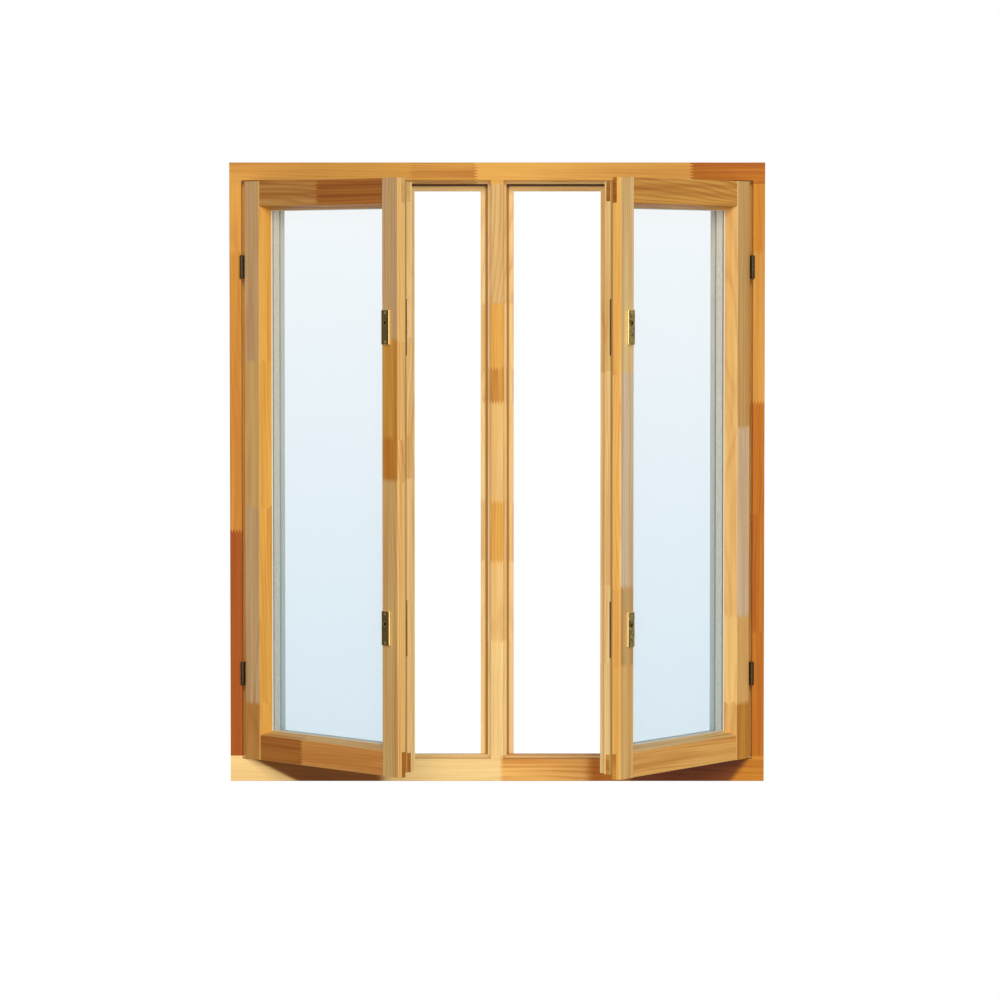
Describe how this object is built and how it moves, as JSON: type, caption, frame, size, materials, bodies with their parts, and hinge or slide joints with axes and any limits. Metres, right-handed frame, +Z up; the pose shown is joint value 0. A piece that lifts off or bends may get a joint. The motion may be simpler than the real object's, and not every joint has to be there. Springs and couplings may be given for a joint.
{
  "type": "casement window",
  "caption": "Two-light inward-opening casement window in laminated pine, with double-glazed sashes on lift-off hinges, a fixed mullion, edge catches and strikes, shown standing open.",
  "frame": {"origin": "centre of the sill's underside, at the middle of the frame's width and depth", "axes": "+Z up, +X to the right as seen from the room, -Y towards the room, where the sashes open"},
  "size_m": [1.2, 0.5572, 1.39],
  "materials": {
    "pine_frame": "clear varnished, satin",
    "pine_sash": "clear varnished, satin",
    "brown_seal": "matt extruded",
    "float_glass": "clear, polished",
    "aluminium_spacer": "mill, satin",
    "glazing_sealant": "matt",
    "setting_block": "moulded",
    "bronzed_steel": "bronze plated, dark",
    "brass_plate": "antiqued, satin",
    "brass_screw": "plated",
    "hub_steel": "bronze plated, satin",
    "zinc_steel": "zinc plated"
  },
  "bodies": {
    "frame": {"frame_corner_screws": "zinc_steel", "frame_fitting_screws": "brass_screw", "frame_head": "pine_frame", "frame_jamb_left": "pine_frame", "frame_jamb_right": "pine_frame", "frame_mullion": "pine_frame", "frame_sill": "pine_frame", "hinge_frame_half_left_lower": "bronzed_steel", "hinge_frame_half_left_upper": "bronzed_steel", "hinge_frame_half_right_lower": "bronzed_steel", "hinge_frame_half_right_upper": "bronzed_steel", "hinge_pins": "bronzed_steel", "seal_sill": "brown_seal", "seal_stop_left": "brown_seal", "seal_stop_right": "brown_seal", "strike_left_lower": "zinc_steel", "strike_left_upper": "zinc_steel", "strike_right_lower": "zinc_steel", "strike_right_upper": "zinc_steel"},
    "sash_left": {"sash_left_catch_cases": "zinc_steel", "sash_left_catch_plate_lower": "brass_plate", "sash_left_catch_plate_upper": "brass_plate", "sash_left_glass_sealant": "glazing_sealant", "sash_left_glass_spacer": "aluminium_spacer", "sash_left_glazing_beads": "pine_sash", "sash_left_hinge_lower": "bronzed_steel", "sash_left_hinge_upper": "bronzed_steel", "sash_left_pane_outer": "float_glass", "sash_left_pane_room": "float_glass", "sash_left_rail_bottom": "pine_sash", "sash_left_rail_top": "pine_sash", "sash_left_screws": "brass_screw", "sash_left_setting_blocks": "setting_block", "sash_left_stile_hinge": "pine_sash", "sash_left_stile_lock": "pine_sash"},
    "sash_right": {"sash_right_catch_cases": "zinc_steel", "sash_right_catch_plate_lower": "brass_plate", "sash_right_catch_plate_upper": "brass_plate", "sash_right_glass_sealant": "glazing_sealant", "sash_right_glass_spacer": "aluminium_spacer", "sash_right_glazing_beads": "pine_sash", "sash_right_hinge_lower": "bronzed_steel", "sash_right_hinge_upper": "bronzed_steel", "sash_right_pane_outer": "float_glass", "sash_right_pane_room": "float_glass", "sash_right_rail_bottom": "pine_sash", "sash_right_rail_top": "pine_sash", "sash_right_screws": "brass_screw", "sash_right_setting_blocks": "setting_block", "sash_right_stile_hinge": "pine_sash", "sash_right_stile_lock": "pine_sash"},
    "hub_left_lower": {"sash_left_hub_lower": "hub_steel"},
    "tongue_left_lower": {"sash_left_tongue_lower": "zinc_steel"},
    "hub_left_upper": {"sash_left_hub_upper": "hub_steel"},
    "tongue_left_upper": {"sash_left_tongue_upper": "zinc_steel"},
    "hub_right_lower": {"sash_right_hub_lower": "hub_steel"},
    "tongue_right_lower": {"sash_right_tongue_lower": "zinc_steel"},
    "hub_right_upper": {"sash_right_hub_upper": "hub_steel"},
    "tongue_right_upper": {"sash_right_tongue_upper": "zinc_steel"}
  },
  "joints": [
    {"name": "sash_left_swing", "type": "hinge", "parent": "frame", "child": "sash_left", "pos_m": [-0.572, -0.0505, 0.2435], "axis": [0, 0, -1], "range_deg": [-50.4, 59.6]},
    {"name": "hub_left_lower_turn", "type": "hinge", "parent": "sash_left", "child": "hub_left_lower", "pos_m": [-0.23821, -0.44535, 0.384], "axis": [-0.7705, -0.6374, 0], "range_deg": [0, 90]},
    {"name": "tongue_left_lower_slide", "type": "slide", "parent": "sash_left", "child": "tongue_left_lower", "axis": [0.6374, -0.7705, 0], "range_m": [0, 0.0122]},
    {"name": "hub_left_upper_turn", "type": "hinge", "parent": "sash_left", "child": "hub_left_upper", "pos_m": [-0.23821, -0.44535, 1.035], "axis": [-0.7705, -0.6374, 0], "range_deg": [0, 90]},
    {"name": "tongue_left_upper_slide", "type": "slide", "parent": "sash_left", "child": "tongue_left_upper", "axis": [0.6374, -0.7705, 0], "range_m": [0, 0.0122]},
    {"name": "sash_right_swing", "type": "hinge", "parent": "frame", "child": "sash_right", "pos_m": [0.572, -0.0505, 0.2435], "axis": [0, 0, 1], "range_deg": [-57, 53]},
    {"name": "hub_right_lower_turn", "type": "hinge", "parent": "sash_right", "child": "hub_right_lower", "pos_m": [0.28581, -0.4811, 0.384], "axis": [-0.8387, 0.5446, 0], "range_deg": [0, 90]},
    {"name": "tongue_right_lower_slide", "type": "slide", "parent": "sash_right", "child": "tongue_right_lower", "axis": [-0.5446, -0.8387, 0], "range_m": [0, 0.0122]},
    {"name": "hub_right_upper_turn", "type": "hinge", "parent": "sash_right", "child": "hub_right_upper", "pos_m": [0.28581, -0.4811, 1.035], "axis": [-0.8387, 0.5446, 0], "range_deg": [0, 90]},
    {"name": "tongue_right_upper_slide", "type": "slide", "parent": "sash_right", "child": "tongue_right_upper", "axis": [-0.5446, -0.8387, 0], "range_m": [0, 0.0122]}
  ],
  "couplings": [
    {"joint": "tongue_left_lower_slide", "follows": "hub_left_lower_turn", "m_per_rad": 0.0077427},
    {"joint": "tongue_left_upper_slide", "follows": "hub_left_upper_turn", "m_per_rad": 0.0077427},
    {"joint": "tongue_right_lower_slide", "follows": "hub_right_lower_turn", "m_per_rad": 0.0077427},
    {"joint": "tongue_right_upper_slide", "follows": "hub_right_upper_turn", "m_per_rad": 0.0077427}
  ]
}
